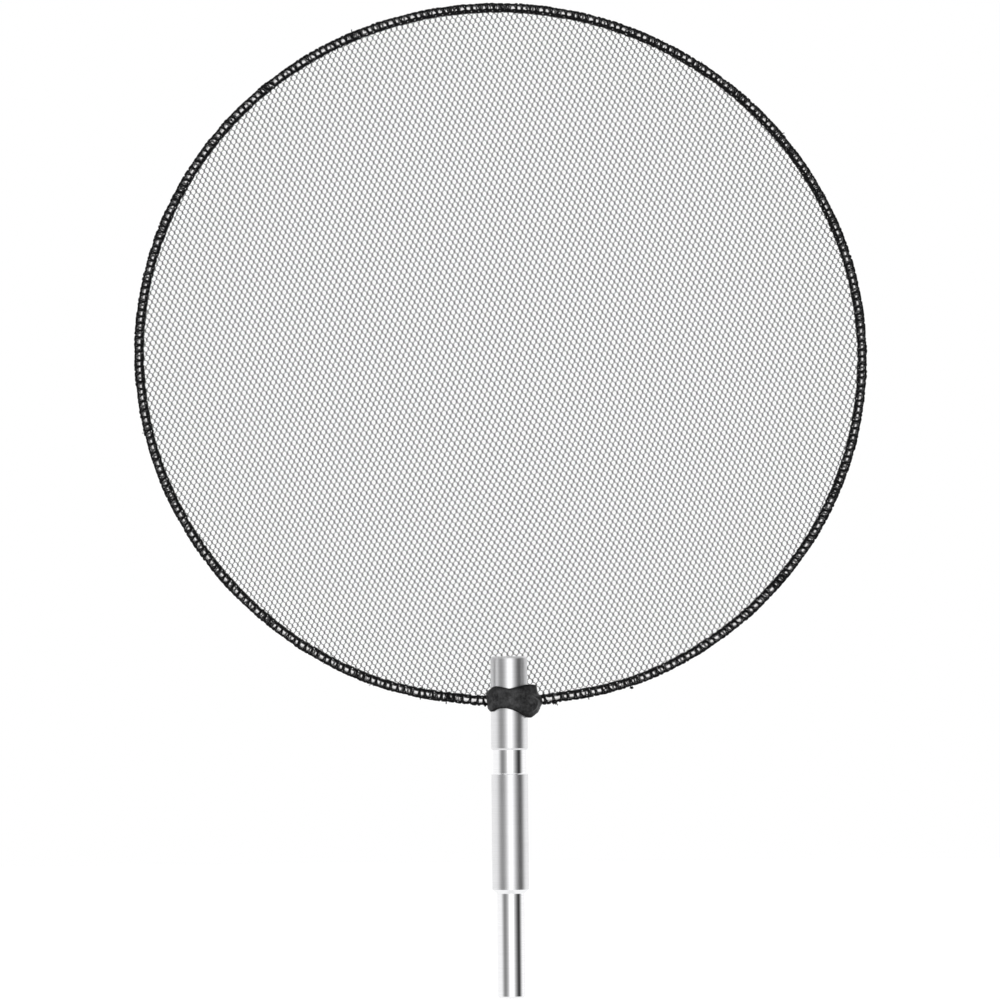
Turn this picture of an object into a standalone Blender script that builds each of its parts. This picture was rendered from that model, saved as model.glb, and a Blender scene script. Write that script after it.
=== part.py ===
"""A small round net on a stepped spigot, which is held in front of a lamp to take down a part of its light.

One spring wire makes a slightly oval hoop. Both of its ends meet in a cross bore through the spigot's head, where a
grub screw clamps them and a tape wrap covers them. The net fills the hoop, behind the stub of the spigot, and its
hem is bound round the wire.

Metres. +Z runs up the spigot, +X to the right and +Y to the back of the net. The origin is on the spigot's axis,
halfway along the pin that a clamp holds.
"""

import math

import bmesh
import bpy
from mathutils import Vector

MM = 0.001
GAP = 0.3 * MM  # between neighbours that touch on the real one

# The spigot, turned from one bar, from its top down.
BAR_DIAMETER = 12.7 * MM
NECK_DIAMETER = 11.4 * MM
PIN_DIAMETER = 9.525 * MM
STUB_LENGTH = 15.2 * MM  # from the wire to the top
HEAD_LENGTH = 17.1 * MM  # from the wire down to the neck
NECK_LENGTH = 8.5 * MM
GRIP_LENGTH = 39.9 * MM
STEP_LENGTH = 1.4 * MM  # the cone between grip and pin
PIN_LENGTH = 36.2 * MM
EDGE_CHAMFER = 0.6 * MM
NECK_FILLET = 0.6 * MM
TURN_STEPS = 40

# The hoop.
HOOP_WIDTH = 254.0 * MM  # over the binding, along the long axis
HOOP_HEIGHT = 244.4 * MM
HOOP_LEAN = math.radians(8.1)  # the long axis dips to the right
HOOP_SHIFT = -1.9 * MM  # the oval's centre stands left of the spigot
WIRE_DIAMETER = 2.0 * MM
WIRE_END_GAP = 0.6 * MM
BEND_LENGTH = 12.0 * MM  # the wire leaves the spigot straight and bends up over this length
FLATTENING = 1.3 * MM  # the oval's foot is drawn up by this at the spigot
EASE_LENGTH = 46.0 * MM  # and by less and less over this length
HOOP_STEPS = 96

# The hem, bound round the wire.
BINDING_WALL = 0.4 * MM
BARE_LEFT = 15.8 * MM  # the binding starts this far from the spigot's axis
BARE_RIGHT = 17.8 * MM

# The net. Its real holes are 1.95 mm apart, so these cells stand for a finer mesh of the same lay.
CELL_WIDTH = 16.8 * MM
CELL_RISE = 13.45 * MM  # from one row of cells to the next
PILLAR_LENGTH = 7.6 * MM  # the upright side of a cell
STRAND_WIDTH = 1.3 * MM
NET_THICKNESS = 0.5 * MM
NET_BORDER = 1.5 * MM
NET_TURN = math.radians(11.0)  # the pillars lean to the left
LEAST_HOLE = 0.05  # of a whole cell's area
TENT_SPREAD = 45.0 * MM
FREE_EDGE_RISE = 0.8 * MM  # the net's edge draws up where it isn't bound
FREE_EDGE_STEPS = 16
FINE_SIDE = 4.0 * MM  # the cells' longest side near the stub
FINE_REACH = 32.0 * MM
FINE_STRIPS = 8  # across the back of the stub

# The grub screw, down the top of the stub.
GRUB_DIAMETER = 5.0 * MM
GRUB_LENGTH = 12.0 * MM
GRUB_CHAMFER = 0.4 * MM
KEY_SIZE = 2.5 * MM
KEY_DEPTH = 3.0 * MM

# The tape wrap, from the spigot's side to its own ends, and up and down from the wire.
TAPE_THICKNESS = 0.8 * MM
WRAP_LEFT = 1.35 * MM
WRAP_RIGHT = 4.85 * MM
WRAP_WAIST_TOP = 3.9 * MM
WRAP_WAIST_FOOT = 2.6 * MM
WRAP_LEFT_TOP = 5.1 * MM
WRAP_LEFT_FOOT = 4.0 * MM
WRAP_RIGHT_TOP = 5.7 * MM
WRAP_RIGHT_FOOT = 6.3 * MM
WRAP_NOSE_POWER = 12  # how sharply the wrap narrows onto the wire

BAR_RADIUS = BAR_DIAMETER / 2
PIN_RADIUS = PIN_DIAMETER / 2
WIRE_RADIUS = WIRE_DIAMETER / 2
WIRE_BORE_RADIUS = WIRE_RADIUS + GAP
BINDING_RADIUS = WIRE_BORE_RADIUS + BINDING_WALL
GRUB_BORE_RADIUS = GRUB_DIAMETER / 2 + GAP
WRAP_RADIUS = BAR_RADIUS + GAP + TAPE_THICKNESS

# Heights on the spigot.
PIN_END = -PIN_LENGTH / 2
PIN_TOP = PIN_LENGTH / 2
GRIP_FOOT = PIN_TOP + STEP_LENGTH
GRIP_TOP = GRIP_FOOT + GRIP_LENGTH
HEAD_FOOT = GRIP_TOP + NECK_LENGTH
WIRE_HEIGHT = HEAD_FOOT + HEAD_LENGTH
STUB_TOP = WIRE_HEIGHT + STUB_LENGTH

# The oval that the wire's centre line follows.
LONG_SEMI = HOOP_WIDTH / 2 - BINDING_RADIUS
SHORT_SEMI = HOOP_HEIGHT / 2 - BINDING_RADIUS
LONG_AXIS = Vector((math.cos(HOOP_LEAN), -math.sin(HOOP_LEAN)))
SHORT_AXIS = Vector((math.sin(HOOP_LEAN), math.cos(HOOP_LEAN)))
HALF_RISE = math.hypot(LONG_SEMI * LONG_AXIS.y, SHORT_SEMI * SHORT_AXIS.y)
HOOP_CENTRE = Vector((HOOP_SHIFT, WIRE_HEIGHT + HALF_RISE - FLATTENING))

# The net's middle plane, and how far behind the wire the stub holds it.
NET_INSET = BINDING_RADIUS + GAP
TENT_DEPTH = BAR_RADIUS + GAP + NET_THICKNESS / 2
TENT_SLOPE_DEPTH = 1.3 * TENT_DEPTH  # the slopes aim past the stub's back, so that they clear its sides


def clear_scene():
    for item in list(bpy.data.objects):
        bpy.data.objects.remove(item, do_unlink=True)


def new_collection(name):
    collection = bpy.data.collections.new(name)
    bpy.context.scene.collection.children.link(collection)
    return collection


def make_material(name, colour, roughness, metallic=0.0):
    material = bpy.data.materials.new(name)
    material.use_nodes = True
    shader = material.node_tree.nodes["Principled BSDF"]
    shader.inputs["Base Color"].default_value = (*colour, 1.0)
    shader.inputs["Roughness"].default_value = roughness
    shader.inputs["Metallic"].default_value = metallic
    return material


def place(item, collection, material=None):
    for owner in list(item.users_collection):
        owner.objects.unlink(item)
    collection.objects.link(item)
    if material is not None:
        item.data.materials.clear()
        item.data.materials.append(material)
    return item


def as_cutter(item, cutters):
    place(item, cutters)
    item.hide_render = True
    item.display_type = "WIRE"
    return item


def cut(item, cutter, operation="DIFFERENCE"):
    boolean = item.modifiers.new(cutter.name, "BOOLEAN")
    boolean.operation = operation
    boolean.object = cutter
    boolean.solver = "EXACT"


def round_cutter(name, radius, length, centre, along_x=False, sides=24):
    turn = (0.0, math.pi / 2, 0.0) if along_x else (0.0, 0.0, 0.0)
    bpy.ops.mesh.primitive_cylinder_add(
        vertices=sides, radius=radius, depth=length, location=centre, rotation=turn
    )
    item = bpy.context.object
    item.name = name
    return item


def turned(name, profile, steps):
    """A solid of revolution about Z, from (radius, height) points that run from its top down."""
    mesh = bpy.data.meshes.new(name)
    points = [(radius, 0.0, height) for radius, height in profile]
    mesh.from_pydata(points, [(i, i + 1) for i in range(len(points) - 1)], [])
    item = bpy.data.objects.new(name, mesh)
    screw = item.modifiers.new("Turn", "SCREW")
    screw.axis = "Z"
    screw.steps = steps
    screw.render_steps = steps
    screw.use_merge_vertices = True
    screw.merge_threshold = 0.00001
    screw.use_smooth_shade = True
    return item


def poly_spline(curve, points, closed=False):
    spline = curve.splines.new("POLY")
    spline.points.add(len(points) - 1)
    for point, place_at in zip(spline.points, points):
        point.co = (*place_at, 1.0)
    spline.use_cyclic_u = closed


def tube(name, points, radius, capped):
    curve = bpy.data.curves.new(name, "CURVE")
    curve.dimensions = "3D"
    curve.bevel_depth = radius
    curve.bevel_resolution = 2
    curve.use_fill_caps = capped
    poly_spline(curve, points)
    return bpy.data.objects.new(name, curve)


def flat_plate(name, outlines, thickness):
    """A plate from closed 2-D outlines; outlines inside the first are its holes."""
    curve = bpy.data.curves.new(name, "CURVE")
    curve.dimensions = "2D"
    curve.fill_mode = "BOTH"
    curve.extrude = thickness / 2
    for outline in outlines:
        poly_spline(curve, [(x, y, 0.0) for x, y in outline], closed=True)
    return bpy.data.objects.new(name, curve)


def curve_to_mesh(item):
    """Replaces a curve object by a mesh object with welded seams, in world coordinates."""
    bpy.context.scene.collection.objects.link(item)
    bpy.context.view_layer.update()
    evaluated = item.evaluated_get(bpy.context.evaluated_depsgraph_get())
    mesh = bpy.data.meshes.new_from_object(evaluated)
    name, matrix = item.name, item.matrix_world.copy()
    bpy.data.objects.remove(item, do_unlink=True)
    shape = bmesh.new()
    shape.from_mesh(mesh)
    bmesh.ops.remove_doubles(shape, verts=shape.verts, dist=0.000002)
    bmesh.ops.transform(shape, matrix=matrix, verts=shape.verts)
    shape.to_mesh(mesh)
    shape.free()
    mesh.name = name
    return bpy.data.objects.new(name, mesh)


def ease(share):
    share = min(max(share, 0.0), 1.0)
    return share * share * (3 - 2 * share)


def foot_angle(x):
    """The oval's angle at its foot, straight above or below a place x."""
    reach = math.hypot(LONG_SEMI * LONG_AXIS.x, SHORT_SEMI * SHORT_AXIS.x)
    turn = math.atan2(SHORT_SEMI * SHORT_AXIS.x, LONG_SEMI * LONG_AXIS.x)
    return turn - math.acos((x - HOOP_CENTRE.x) / reach)


def lift(x):
    """How far the oval's foot is drawn up at a place x."""
    return FLATTENING * (1 - ease((abs(x) - BAR_RADIUS) / EASE_LENGTH))


def hoop_point(angle):
    """The wire's centre line in (x, z): an oval whose foot is drawn up, and straight within the spigot."""
    point = HOOP_CENTRE + LONG_SEMI * math.cos(angle) * LONG_AXIS + SHORT_SEMI * math.sin(angle) * SHORT_AXIS
    if point.y < HOOP_CENTRE.y:
        bend = ease((abs(point.x) - BAR_RADIUS) / BEND_LENGTH)
        point.y = WIRE_HEIGHT + bend * (point.y + lift(point.x) - WIRE_HEIGHT)
    return point


def hoop_line(start, end, count, inset=0.0):
    """Points (x, z) from one angle to another, set in from the wire's centre line."""
    step = 0.001
    points = []
    for i in range(count):
        angle = start + (end - start) * i / (count - 1)
        along = (hoop_point(angle + step) - hoop_point(angle - step)).normalized()
        points.append(hoop_point(angle) + inset * Vector((-along.y, along.x)))
    return points


def bound_line(inset=0.0):
    """The stretch of the hoop that carries the binding, from the right of the spigot round to its left."""
    return hoop_line(foot_angle(BARE_RIGHT), foot_angle(-BARE_LEFT) + math.tau, HOOP_STEPS, inset)


def upright(points):
    return [(point.x, 0.0, point.y) for point in points]


def make_spigot(parts, cutters, material):
    neck = NECK_DIAMETER / 2
    fillet = [
        (
            neck + NECK_FILLET * (1 - math.cos(turn)),
            GRIP_TOP + NECK_FILLET * (1 - math.sin(turn)),
        )
        for turn in (math.radians(degrees) for degrees in (0, 30, 60, 90))
    ]
    profile = [
        (0.0, STUB_TOP),
        (BAR_RADIUS - EDGE_CHAMFER, STUB_TOP),
        (BAR_RADIUS, STUB_TOP - EDGE_CHAMFER),
        (BAR_RADIUS, HEAD_FOOT + EDGE_CHAMFER),
        (BAR_RADIUS - EDGE_CHAMFER, HEAD_FOOT),
        (neck, HEAD_FOOT),
        *fillet,
        (BAR_RADIUS, GRIP_TOP),
        (BAR_RADIUS, GRIP_FOOT),
        (PIN_RADIUS, PIN_TOP),
        (PIN_RADIUS, PIN_END + EDGE_CHAMFER),
        (PIN_RADIUS - EDGE_CHAMFER, PIN_END),
        (0.0, PIN_END),
    ]
    spigot = place(turned("spigot", profile, TURN_STEPS), parts, material)
    cross_bore = round_cutter(
        "cross_bore", WIRE_BORE_RADIUS, 2 * BAR_DIAMETER, (0.0, 0.0, WIRE_HEIGHT), along_x=True
    )
    cut(spigot, as_cutter(cross_bore, cutters))
    depth = STUB_TOP - WIRE_HEIGHT
    screw_bore = round_cutter(
        "screw_bore", GRUB_BORE_RADIUS, 2 * depth, (0.0, 0.0, WIRE_HEIGHT + depth), sides=32
    )
    cut(spigot, as_cutter(screw_bore, cutters))


def make_grub_screw(parts, cutters, material):
    foot = WIRE_HEIGHT + WIRE_RADIUS + GAP
    top = foot + GRUB_LENGTH
    radius = GRUB_DIAMETER / 2
    profile = [
        (0.0, top),
        (radius - GRUB_CHAMFER, top),
        (radius, top - GRUB_CHAMFER),
        (radius, foot + GRUB_CHAMFER),
        (radius - GRUB_CHAMFER, foot),
        (0.0, foot),
    ]
    screw = place(turned("grub_screw", profile, 24), parts, material)
    key = round_cutter(
        "key_socket", KEY_SIZE / math.sqrt(3), 2 * KEY_DEPTH, (0.0, 0.0, top), sides=6
    )
    cut(screw, as_cutter(key, cutters))


def make_hoop_wire(parts, material):
    start = foot_angle(WIRE_END_GAP / 2)
    end = foot_angle(-WIRE_END_GAP / 2) + math.tau
    line = hoop_line(start, end, HOOP_STEPS)
    place(tube("hoop_wire", upright(line), WIRE_RADIUS, capped=True), parts, material)


def make_edge_binding(parts, material):
    skin = curve_to_mesh(tube("edge_binding", upright(bound_line()), BINDING_RADIUS, capped=False))
    place(skin, parts, material)
    shell = skin.modifiers.new("Wall", "SOLIDIFY")
    shell.thickness = BINDING_WALL
    shell.offset = -1.0


def cell_hole():
    """The corners of one hole, a tall hexagon drawn in from its cell by half a strand."""
    half = CELL_WIDTH / 2
    slope = (CELL_RISE - PILLAR_LENGTH) / half
    drop = STRAND_WIDTH / 2 * math.hypot(1.0, slope)
    side = half - STRAND_WIDTH / 2
    peak = PILLAR_LENGTH / 2 + slope * half - drop
    shoulder = peak - slope * side
    return [(side, -shoulder), (side, shoulder), (0.0, peak), (-side, shoulder), (-side, -shoulder), (0.0, -peak)]


def holds(point):
    """Whether a point lies inside the net's plain border."""
    margin = NET_INSET + NET_BORDER
    from_centre = point - HOOP_CENTRE
    if from_centre.y < 0:
        from_centre.y -= lift(point.x)
    share = math.hypot(
        from_centre.dot(LONG_AXIS) / (LONG_SEMI - margin),
        from_centre.dot(SHORT_AXIS) / (SHORT_SEMI - margin),
    )
    return share <= 1 and point.y >= WIRE_HEIGHT + margin + FREE_EDGE_RISE


def crossing(inside, outside):
    for _ in range(24):
        middle = (inside + outside) / 2
        if holds(middle):
            inside = middle
        else:
            outside = middle
    return inside


def clipped(corners):
    """The part of an outline that lies inside the border."""
    points = []
    for a, b in zip(corners, corners[1:] + corners[:1]):
        if holds(a):
            points.append(a)
        if holds(a) and not holds(b):
            points.append(crossing(a, b))
        if holds(b) and not holds(a):
            points.append(crossing(b, a))
    return points


def area_of(corners):
    pairs = zip(corners, corners[1:] + corners[:1])
    return abs(sum(a.x * b.y - b.x * a.y for a, b in pairs)) / 2


def finer(corners, longest):
    """The same outline with its sides split, so that it can bend."""
    points = []
    for a, b in zip(corners, corners[1:] + corners[:1]):
        pieces = max(1, math.ceil((b - a).length / longest))
        points += [a.lerp(b, i / pieces) for i in range(pieces)]
    return points


def net_holes():
    across = Vector((math.cos(NET_TURN), math.sin(NET_TURN)))
    up = Vector((-math.sin(NET_TURN), math.cos(NET_TURN)))
    corners = cell_hole()
    whole = area_of([Vector(corner) for corner in corners])
    reach = math.ceil(HOOP_WIDTH / min(CELL_WIDTH, CELL_RISE) / 2) + 1
    stub = Vector((0.0, STUB_TOP))
    holes = []
    for row in range(-reach, reach + 1):
        for column in range(-reach, reach + 1):
            shift = column + (row % 2) / 2
            centre = HOOP_CENTRE + shift * CELL_WIDTH * across + row * CELL_RISE * up
            hole = clipped([centre + x * across + y * up for x, y in corners])
            if area_of(hole) < LEAST_HOLE * whole:
                continue
            near = (centre - stub).length < FINE_REACH
            holes.append(finer(hole, FINE_SIDE) if near else hole)
    return holes


def tent(point, bound):
    """How far the stub holds the net back at a point, falling to nothing where the rim is bound."""
    stub_height = min(max(point.y, WIRE_HEIGHT), STUB_TOP)
    from_stub = (point - Vector((0.0, stub_height))).length
    from_rim = min((point - other).length for other in bound)
    share = from_rim / (from_stub + from_rim)
    slope = TENT_SLOPE_DEPTH * share**1.5 / (1 + (from_stub / TENT_SPREAD) ** 2)
    return min(TENT_DEPTH, slope)


def free_line(inset):
    """The net's edge behind the spigot, which nothing binds, from left to right."""
    points = hoop_line(foot_angle(-BARE_LEFT), foot_angle(BARE_RIGHT), FREE_EDGE_STEPS, inset)
    for i, point in enumerate(points):
        point.y += FREE_EDGE_RISE * math.sin(math.pi * i / (len(points) - 1))
    return points


def prepare_to_bend(mesh):
    """Turns the flat plate's faces into even triangles, cut into narrow strips behind the stub."""
    shape = bmesh.new()
    shape.from_mesh(mesh)
    bmesh.ops.triangulate(shape, faces=shape.faces)
    sheet = [face for face in shape.faces if abs(face.normal.y) > 0.9]
    flat = set(sheet)
    inner = [edge for edge in shape.edges if flat.issuperset(edge.link_faces)]
    bmesh.ops.beautify_fill(shape, faces=sheet, edges=inner)
    for i in range(FINE_STRIPS + 1):
        x = 2 * TENT_DEPTH * (i / FINE_STRIPS - 0.5)
        low = [face for face in shape.faces if face.calc_center_median().z < STUB_TOP + CELL_RISE]
        edges = {edge for face in low for edge in face.edges}
        corners = {vertex for face in low for vertex in face.verts}
        bmesh.ops.bisect_plane(
            shape, geom=[*corners, *edges, *low], dist=0.000001, plane_co=(x, 0, 0), plane_no=(1, 0, 0)
        )
    bmesh.ops.triangulate(shape, faces=shape.faces)
    shape.to_mesh(mesh)
    shape.free()


def make_net(parts, material):
    bound = bound_line(NET_INSET)
    outline = [*bound, *free_line(NET_INSET)[1:-1]]
    plate = flat_plate("net", [outline, *net_holes()], NET_THICKNESS)
    plate.rotation_euler = (math.pi / 2, 0.0, 0.0)
    net = place(curve_to_mesh(plate), parts, material)
    prepare_to_bend(net.data)
    for vertex in net.data.vertices:
        vertex.co.y += tent(Vector((vertex.co.x, vertex.co.z)), bound)


def wrap_face():
    """The wrap's outline from the front, as smooth curves through a few points (x, z)."""
    left = -(BAR_RADIUS + WRAP_LEFT)
    right = BAR_RADIUS + WRAP_RIGHT
    points = [
        (left, 0.0),
        (-0.8 * BAR_RADIUS, WRAP_LEFT_TOP),
        (0.0, WRAP_WAIST_TOP),
        (1.2 * BAR_RADIUS, WRAP_RIGHT_TOP),
        (right, 0.0),
        (1.1 * BAR_RADIUS, -WRAP_RIGHT_FOOT),
        (-0.2 * BAR_RADIUS, -WRAP_WAIST_FOOT),
        (-BAR_RADIUS, -WRAP_LEFT_FOOT),
    ]
    curve = bpy.data.curves.new("joint_wrap", "CURVE")
    curve.dimensions = "2D"
    curve.fill_mode = "BOTH"
    curve.resolution_u = 5
    curve.extrude = 2 * WRAP_RADIUS
    spline = curve.splines.new("BEZIER")
    spline.bezier_points.add(len(points) - 1)
    spline.use_cyclic_u = True
    for knot, (x, z) in zip(spline.bezier_points, points):
        knot.co = (x, z, 0.0)
        knot.handle_left_type = knot.handle_right_type = "AUTO"
    face = bpy.data.objects.new("joint_wrap", curve)
    face.location = (0.0, 0.0, WIRE_HEIGHT)
    face.rotation_euler = (math.pi / 2, 0.0, 0.0)
    return face


def wrap_plan():
    """The wrap's outline from above: round the head, with a nose along the wire on each side."""
    outline = []
    for i in range(48):
        turn = math.tau * i / 48
        nose = WRAP_RIGHT if math.cos(turn) > 0 else WRAP_LEFT
        bulge = max(0.0, BAR_RADIUS + nose - WRAP_RADIUS) * abs(math.cos(turn)) ** WRAP_NOSE_POWER
        radius = WRAP_RADIUS + bulge
        outline.append((radius * math.cos(turn), radius * math.sin(turn)))
    plan = flat_plate("wrap_plan", [outline], 4 * WRAP_RADIUS)
    plan.location = (0.0, 0.0, WIRE_HEIGHT)
    return plan


def make_joint_wrap(parts, cutters, material):
    wrap = place(curve_to_mesh(wrap_face()), parts, material)
    cut(wrap, as_cutter(curve_to_mesh(wrap_plan()), cutters), "INTERSECT")
    centre = (0.0, 0.0, WIRE_HEIGHT)
    head = round_cutter("head_space", BAR_RADIUS + GAP, 4 * BAR_DIAMETER, centre, sides=48)
    cut(wrap, as_cutter(head, cutters))
    wire = round_cutter("wire_space", WIRE_BORE_RADIUS, 4 * BAR_DIAMETER, centre, along_x=True)
    cut(wrap, as_cutter(wire, cutters))
    depth = 4 * BAR_DIAMETER
    front = WIRE_BORE_RADIUS + GAP  # the net comes down behind this plane
    foot = WIRE_HEIGHT + NET_INSET - GAP
    bpy.ops.mesh.primitive_cube_add(size=depth, location=(0.0, front + depth / 2, foot + depth / 2))
    back = bpy.context.object
    back.name = "net_space"
    cut(wrap, as_cutter(back, cutters))


def main():
    clear_scene()
    parts = new_collection("open_net_scrim")
    cutters = new_collection("cutters")
    aluminium = make_material("turned_aluminium", (0.72, 0.72, 0.73), 0.28, 1.0)
    steel = make_material("spring_steel", (0.62, 0.62, 0.63), 0.25, 1.0)
    black_steel = make_material("black_steel", (0.05, 0.05, 0.055), 0.4, 1.0)
    tulle = make_material("black_tulle", (0.02, 0.02, 0.022), 0.7)
    thread = make_material("black_thread", (0.015, 0.015, 0.016), 0.6)
    vinyl = make_material("black_vinyl", (0.03, 0.03, 0.032), 0.5)
    make_spigot(parts, cutters, aluminium)
    make_grub_screw(parts, cutters, black_steel)
    make_hoop_wire(parts, steel)
    make_edge_binding(parts, thread)
    make_net(parts, tulle)
    make_joint_wrap(parts, cutters, vinyl)


main()
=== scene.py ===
# %% [markdown]
# # A small open net on a spigot
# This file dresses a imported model: one wire hoop about 25 cm across, filled with black tulle, on a turned
# metal spigot. The tulle takes down the light of a lamp that shines through it, so what the eye sees is
# mostly holes. The model gives the sizes and places. This file gives the yarn, the stitches, the tape and
# the metal.

# %% Load the frame
import math
from functools import partial

import bmesh
import bpy
import numpy as np
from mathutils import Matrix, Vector


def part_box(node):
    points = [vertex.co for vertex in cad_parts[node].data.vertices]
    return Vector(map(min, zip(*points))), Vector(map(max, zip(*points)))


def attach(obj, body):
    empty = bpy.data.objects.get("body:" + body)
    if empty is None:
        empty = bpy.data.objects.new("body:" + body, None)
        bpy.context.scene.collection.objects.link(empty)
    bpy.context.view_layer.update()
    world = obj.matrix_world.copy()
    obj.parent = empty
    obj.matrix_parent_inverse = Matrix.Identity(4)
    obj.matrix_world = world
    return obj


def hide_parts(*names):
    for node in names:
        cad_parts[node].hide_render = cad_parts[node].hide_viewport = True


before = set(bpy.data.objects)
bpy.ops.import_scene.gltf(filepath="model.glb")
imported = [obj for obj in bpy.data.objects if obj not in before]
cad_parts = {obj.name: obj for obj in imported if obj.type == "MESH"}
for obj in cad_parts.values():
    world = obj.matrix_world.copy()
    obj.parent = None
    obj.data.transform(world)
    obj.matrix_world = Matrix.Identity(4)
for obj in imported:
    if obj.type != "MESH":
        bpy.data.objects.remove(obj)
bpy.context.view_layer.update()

# %% [markdown]
# ## Sizes
# The spigot's own sizes are read from the model's boxes. The hoop is an oval that leans a little, so its box
# alone doesn't give its axes: they stand here as driving sizes, the same ones that the model was built from.

# %% Read the spigot and the wire
MM = 0.001
SPIGOT_LOW, SPIGOT_HIGH = (Vector(corner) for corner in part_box("spigot"))
WIRE_LOW, WIRE_HIGH = (Vector(corner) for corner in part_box("hoop_wire"))
BAR_RADIUS = (SPIGOT_HIGH.x - SPIGOT_LOW.x) / 2
WIRE_RADIUS = (WIRE_HIGH.y - WIRE_LOW.y) / 2
STUB_TOP = SPIGOT_HIGH.z
PIN_END = SPIGOT_LOW.z
WIRE_HEIGHT = 85.0 * MM  # of the cross bore above the middle of the pin
print(f"bar {2000 * BAR_RADIUS:.2f} mm, wire {2000 * WIRE_RADIUS:.2f} mm, stub top {1000 * STUB_TOP:.1f} mm")

# %% Describe the hoop's oval
HOOP_WIDTH = 254.0 * MM  # over the binding, along the oval's long axis
HOOP_HEIGHT = 244.4 * MM
HOOP_LEAN = math.radians(8.1)  # the long axis falls to the right
HOOP_SHIFT = -1.9 * MM  # of the oval's centre from the spigot's axis
BINDING_RADIUS = 1.7 * MM
BEND_LENGTH = 12.0 * MM  # beside the spigot, where the wire bends up
FLATTENING = 1.3 * MM  # of the oval's foot
EASE_LENGTH = 46.0 * MM  # over which the wire is back on the oval
BARE_LEFT = 15.8 * MM  # from the spigot's axis to the end of the hem
BARE_RIGHT = 17.8 * MM
LONG_SEMI = HOOP_WIDTH / 2 - BINDING_RADIUS
SHORT_SEMI = HOOP_HEIGHT / 2 - BINDING_RADIUS
LONG_AXIS = np.array((math.cos(HOOP_LEAN), -math.sin(HOOP_LEAN)))
SHORT_AXIS = np.array((math.sin(HOOP_LEAN), math.cos(HOOP_LEAN)))
HALF_RISE = math.hypot(LONG_SEMI * LONG_AXIS[1], SHORT_SEMI * SHORT_AXIS[1])
HOOP_CENTRE = np.array((HOOP_SHIFT, WIRE_HEIGHT + HALF_RISE - FLATTENING))
print("hoop centre", HOOP_CENTRE.round(4))


# %% [markdown]
# The wire follows the oval everywhere but at its foot. There it runs straight through the spigot, bends up
# on both sides, and eases back onto the oval. One function gives the wire's line, and everything that is
# bound to it reads it.

# %% Trace the wire's line
FINE_STEPS = 8000
RIM_POINTS = 2000


def eased(share):
    """A share from 0 to 1 that sets off and arrives softly."""
    share = np.clip(share, 0, 1)
    return share * share * (3 - 2 * share)


def foot_angle(x):
    """The oval's angle at its foot, below a place x."""
    reach = math.hypot(LONG_SEMI * LONG_AXIS[0], SHORT_SEMI * SHORT_AXIS[0])
    turn = math.atan2(SHORT_SEMI * SHORT_AXIS[0], LONG_SEMI * LONG_AXIS[0])
    return turn - math.acos((x - HOOP_CENTRE[0]) / reach)


def read_between(places, known, points):
    """Points (x, z) at some places along a line, between the places where they are known."""
    return np.stack([np.interp(places, known, points[:, i]) for i in (0, 1)], axis=1)


def hoop_points(start_x, end_x, count):
    """Evenly spaced points (x, z) on the wire, from start_x right of the spigot round to end_x left of it."""
    angles = np.linspace(foot_angle(start_x), foot_angle(end_x) + math.tau, FINE_STEPS)
    line = (
        HOOP_CENTRE
        + LONG_SEMI * np.cos(angles)[:, None] * LONG_AXIS
        + SHORT_SEMI * np.sin(angles)[:, None] * SHORT_AXIS
    )
    beyond = np.abs(line[:, 0]) - BAR_RADIUS
    drawn_up = line[:, 1] + FLATTENING * (1 - eased(beyond / EASE_LENGTH))
    foot = WIRE_HEIGHT + eased(beyond / BEND_LENGTH) * (drawn_up - WIRE_HEIGHT)
    line[:, 1] = np.where(line[:, 1] < HOOP_CENTRE[1], foot, line[:, 1])
    steps = np.linalg.norm(np.diff(line, axis=0), axis=1)
    along = np.concatenate([[0], np.cumsum(steps)])
    return read_between(np.linspace(0, along[-1], count), along, line), along[-1]


bound_rim, BOUND_LENGTH = hoop_points(BARE_RIGHT, -BARE_LEFT, RIM_POINTS)
print(f"the hem is bound over {1000 * BOUND_LENGTH:.0f} mm")


# %% [markdown]
# ## Camera
# The photograph was taken from straight ahead through a long lens: the steps of the spigot show no curve.
# The camera rolls half a degree, because the spigot leans that much in the picture. The frame is square.

# %% Set the camera
PICTURE_SIDE = 1000  # in pixels
HOOP_IN_PICTURE = 733.3  # pixels across
VIEW_CENTRE = Vector((-2.55, 0.0, 154.4)) * MM
VIEW_DISTANCE = 4.0
VIEW_ROLL = math.radians(0.49)
SENSOR = 36.0

lens = bpy.data.cameras.new("camera")
lens.sensor_width = SENSOR
lens.lens = SENSOR * VIEW_DISTANCE / (PICTURE_SIDE * HOOP_WIDTH / HOOP_IN_PICTURE)
camera = bpy.data.objects.new("camera", lens)
camera.location = VIEW_CENTRE - Vector((0.0, VIEW_DISTANCE, 0.0))
camera.rotation_euler = (math.pi / 2, VIEW_ROLL, 0.0)
bpy.context.scene.collection.objects.link(camera)
bpy.context.scene.camera = camera
print(f"lens {lens.lens:.1f} mm at {VIEW_DISTANCE} m")


# %% [markdown]
# ## Node trees
# Materials and Geometry Nodes are both trees of nodes. One helper fills a node's inputs, with a plain value
# or with the output of another node, and the others build on it: a new node, a step of arithmetic, a noise,
# a bump, a colour.

# %% Helpers for nodes
def fill(tree, item, inputs):
    for key, value in inputs.items():
        if isinstance(value, bpy.types.NodeSocket):
            tree.links.new(value, item.inputs[key])
        else:
            item.inputs[key].default_value = value


def add(tree, kind, inputs=None, **options):
    """A new node, with its options set and inputs filled. In a material, TexNoise is ShaderNodeTexNoise."""
    item = tree.nodes.new(kind if "Node" in kind else tree.bl_idname.removesuffix("Tree") + kind)
    for option, value in options.items():
        setattr(item, option, value)
    fill(tree, item, inputs or {})
    return item


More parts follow.
